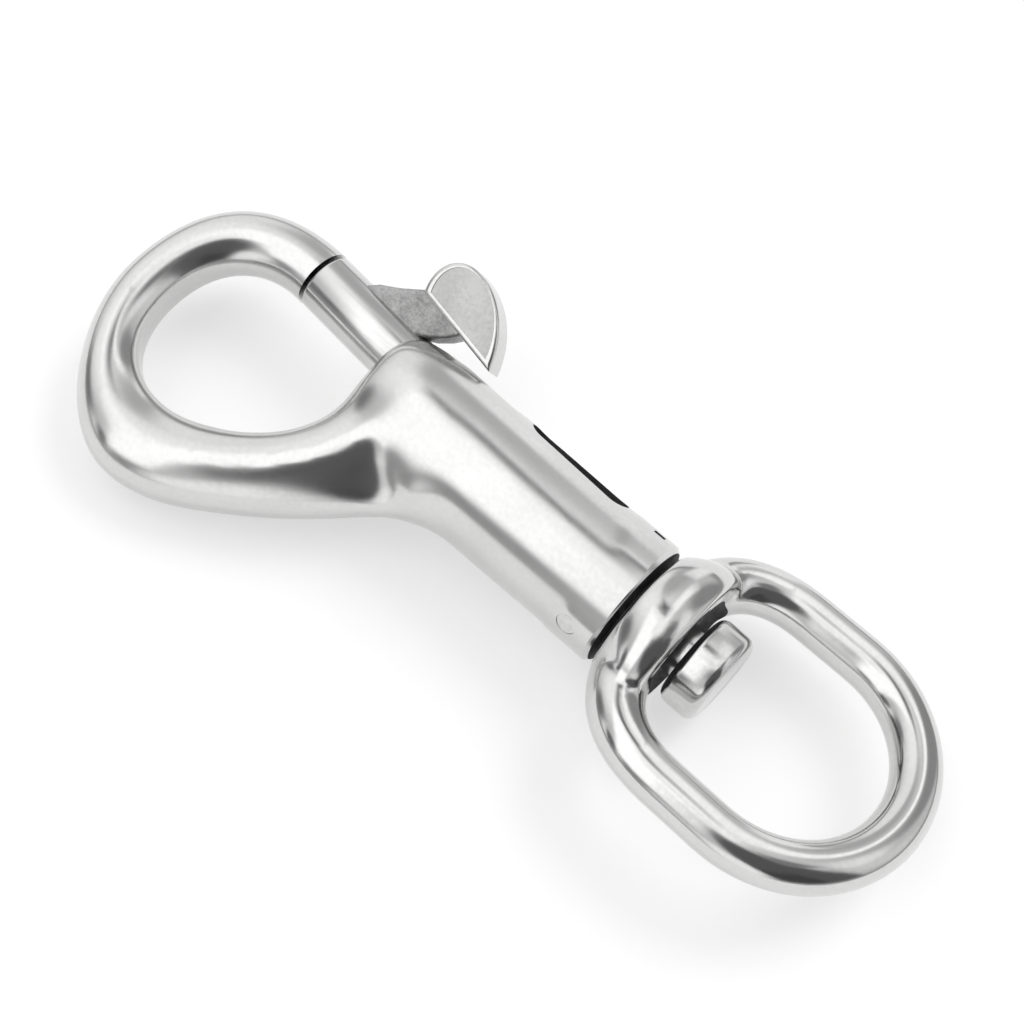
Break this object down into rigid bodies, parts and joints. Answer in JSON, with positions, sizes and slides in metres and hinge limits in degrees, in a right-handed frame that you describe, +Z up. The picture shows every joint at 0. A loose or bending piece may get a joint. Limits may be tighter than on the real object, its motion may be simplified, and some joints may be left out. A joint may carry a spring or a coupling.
{
  "type": "swivel snap hook",
  "caption": "Swivel snap hook: a cast hook whose gate is a sprung bolt drawn back by a thumb lever, with an oval swivel bow that turns on a headed pin.",
  "frame": {"origin": "centre of the bounding box in plan, on the floor the part lies on", "axes": "+X runs along the barrel and the swivel pin towards the bow, +Y to the side of the thumb lever, +Z up from the floor"},
  "size_m": [0.0891, 0.0364, 0.0144],
  "materials": {
    "polished_steel": "mirror-polished stainless steel casting",
    "bolt_steel": "ground and polished stainless steel bar",
    "lever_steel": "stainless steel, matte web and polished thumb pad",
    "spring_steel": "drawn stainless steel wire",
    "pin_steel": "turned and polished stainless steel",
    "cross_pin_steel": "stainless steel pin, ground flush",
    "bow_steel": "mirror-polished stainless steel casting"
  },
  "bodies": {
    "hook": {"hook_body": "polished_steel", "swivel_pin": "pin_steel", "cross_pin": "cross_pin_steel", "spring": "spring_steel"},
    "bolt": {"bolt": "bolt_steel", "thumb_lever": "lever_steel"},
    "bow": {"swivel_bow": "bow_steel"}
  },
  "joints": [
    {"name": "bolt_slide", "type": "slide", "parent": "hook", "child": "bolt", "axis": [0.9969, -0.0773, -0.0136], "range_m": [0, 0.01], "stiffness_N_per_m": 880, "springref_m": -0.003, "deforming": ["spring"]},
    {"name": "bow_swivel", "type": "hinge", "parent": "hook", "child": "bow", "pos_m": [0.01333, 0.00437, 0.00685], "axis": [1, 0, 0], "continuous": true}
  ]
}
